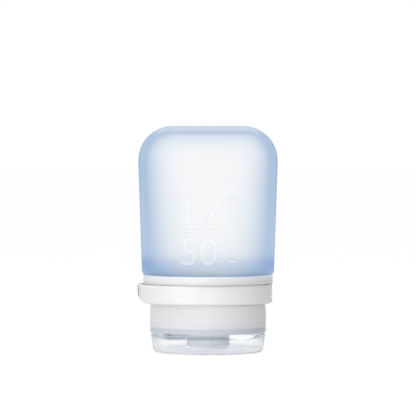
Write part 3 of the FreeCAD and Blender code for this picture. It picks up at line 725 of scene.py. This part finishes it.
# Seams: a fine step under the collar's rim, open at the loop's hinge, and a squarer upper edge of the cap
collarStep = {
    "inner": 0.0183, "outer": 0.0193, "foot": 0.02075, "top": 0.02105,
    "start": 30, "end": 330, "steps": 150, "sharpAngle": 32,
}
capEdge = {
    "inner": 0.01595, "outer": 0.01738, "foot": 0.0135, "top": 0.01495, "bevel": 0.0002,
    "start": 0, "end": 360, "steps": 180, "sharpAngle": 32,
}


def turnedPiece(name, size, profile, material):
    # Turns a profile of radius and height about the axis, with flat ends where it stops short of a full turn
    steps = size["steps"]
    sweep = size["end"] - size["start"]
    whole = sweep >= 360
    count = len(profile)
    rows = steps if whole else steps + 1
    points = []
    for i in range(rows):
        angle = math.radians(size["start"] + sweep * i / steps)
        points += [(radius * math.cos(angle), radius * math.sin(angle), level) for radius, level in profile]
    faces = []
    for i in range(steps):
        low = i * count
        high = (i + 1) % rows * count
        for j in range(count):
            following = (j + 1) % count
            faces.append((low + j, high + j, high + following, low + following))
    if not whole:
        faces.append(tuple(range(count)))
        faces.append(tuple(reversed(range(len(points) - count, len(points)))))
    mesh = bpy.data.meshes.new(name)
    mesh.from_pydata(points, [], faces)
    mesh.validate()
    smoothByAngle(mesh, size["sharpAngle"])
    setMaterial(mesh, material)
    return addObject(name, mesh)


def makeCollarStep():
    inner, outer, foot, top = (collarStep[key] for key in ("inner", "outer", "foot", "top"))
    profile = ((inner, foot), (outer, foot), (outer, top), (inner, top))
    piece = turnedPiece("collarStep", collarStep, profile, whitePlastic)
    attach(piece, "bottle")


def makeCapEdge():
    inner, outer, foot, top, bevel = (capEdge[key] for key in ("inner", "outer", "foot", "top", "bevel"))
    profile = ((inner, foot), (outer, foot), (outer, top - bevel), (outer - bevel, top), (inner, top))
    piece = turnedPiece("capEdge", capEdge, profile, frostedPlastic)
    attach(piece, "cap")


makeCollarStep()
makeCapEdge()
print("seams closed")

# Stage: a pale floor, a white surround and soft lamps
stageLight = {
    "surround": 0.5,
    "floorHalf": 6.0, "floorGlow": 0.93, "floorTone": 0.12, "floorBounce": 0.92,
    "aim": (0, 0, 0.035),
    "lamps": (
        {"name": "leftSoftbox", "place": (-0.4, -0.68, 0.06), "size": 0.5, "height": 0.11, "power": 2.0,
         "skipsBody": True},
        {"name": "frontSoftbox", "place": (0.0, -0.95, 0.04), "size": 0.075, "height": 0.075, "power": 1.0,
         "skipsBody": True},
        {"name": "topSoftbox", "place": (-0.1, -0.15, 0.7), "size": 0.5, "height": 0.5, "power": 0.9,
         "skipsBody": False},
    ),
}


def seenDirectly(tree):
    # One for what the camera, a reflection or a see-through piece looks at
    path = tree.nodes.new("ShaderNodeLightPath")
    seen = mathNode(tree, "MAXIMUM", path.outputs["Is Camera Ray"], path.outputs["Is Glossy Ray"])
    return mathNode(tree, "MAXIMUM", seen, path.outputs["Is Transmission Ray"])


def makeSurround():
    # White where it is seen, and softer as a light
    world = bpy.data.worlds.new("whiteSurround")
    bpy.context.scene.world = world
    world.use_nodes = True
    tree = world.node_tree
    background = tree.nodes["Background"]
    background.inputs["Color"].default_value = (1, 1, 1, 1)
    soft = stageLight["surround"]
    strength = mathNode(tree, "ADD", mathNode(tree, "MULTIPLY", seenDirectly(tree), 1 - soft), soft)
    tree.links.new(strength, background.inputs["Strength"])


def greyShader(tree, level):
    shader = tree.nodes.new("ShaderNodeBsdfDiffuse")
    shader.inputs["Color"].default_value = (level, level, level, 1)
    return shader.outputs["BSDF"]


def makeFloor():
    # Seen, it is nearly white and still takes the shadow; as a light it is a plain pale floor
    half = stageLight["floorHalf"]
    mesh = bpy.data.meshes.new("paleFloor")
    corners = [(-half, -half, 0), (half, -half, 0), (half, half, 0), (-half, half, 0)]
    mesh.from_pydata(corners, [], [(0, 1, 2, 3)])
    floor = addObject("paleFloor", mesh)
    material = bpy.data.materials.new("paleFloor")
    material.use_nodes = True
    tree = material.node_tree
    tree.nodes.remove(tree.nodes["Principled BSDF"])
    glow = tree.nodes.new("ShaderNodeEmission")
    glow.inputs["Strength"].default_value = stageLight["floorGlow"]
    both = tree.nodes.new("ShaderNodeAddShader")
    pick = tree.nodes.new("ShaderNodeMixShader")
    tree.links.new(greyShader(tree, stageLight["floorTone"]), both.inputs[0])
    tree.links.new(glow.outputs["Emission"], both.inputs[1])
    tree.links.new(seenDirectly(tree), pick.inputs["Fac"])
    tree.links.new(greyShader(tree, stageLight["floorBounce"]), pick.inputs[1])
    tree.links.new(both.outputs["Shader"], pick.inputs[2])
    tree.links.new(pick.outputs["Shader"], tree.nodes["Material Output"].inputs["Surface"])
    mesh.materials.append(material)


def makeLamps(body):
    aim = Vector(stageLight["aim"])
    skipped = bpy.data.collections.new("lampSkips")  # low lamps would burn the body out, seen from behind
    skipped.objects.link(body)
    skipped.collection_objects[0].light_linking.link_state = "EXCLUDE"
    for entry in stageLight["lamps"]:
        lamp = bpy.data.lights.new(entry["name"], "AREA")
        lamp.shape = "RECTANGLE"
        lamp.size = entry["size"]
        lamp.size_y = entry["height"]
        lamp.energy = entry["power"]
        holder = addObject(entry["name"], lamp)
        if entry["skipsBody"]:
            holder.light_linking.receiver_collection = skipped
        holder.location = entry["place"]
        holder.rotation_euler = (aim - Vector(entry["place"])).to_track_quat("-Z", "Y").to_euler()


# Level with the upper body and tilted down a little, with a long lens
studioCamera = {
    "distance": 1.0, "height": 0.0638, "across": 0.0, "tilt": 1.159,
    "lens": 286.5, "sensor": 36, "clipEnd": 20,
}


def makeCamera():
    data = bpy.data.cameras.new("studioCamera")
    data.lens = studioCamera["lens"]
    data.sensor_width = studioCamera["sensor"]
    data.clip_end = studioCamera["clipEnd"]
    camera = addObject("studioCamera", data)
    camera.location = (studioCamera["across"], -studioCamera["distance"], studioCamera["height"])
    camera.rotation_euler = (math.radians(90 - studioCamera["tilt"]), 0, 0)
    bpy.context.scene.camera = camera


makeSurround()
makeFloor()
makeLamps(squeezeBody)
makeCamera()
bpy.context.scene.view_settings.view_transform = "Standard"
print("stage set")
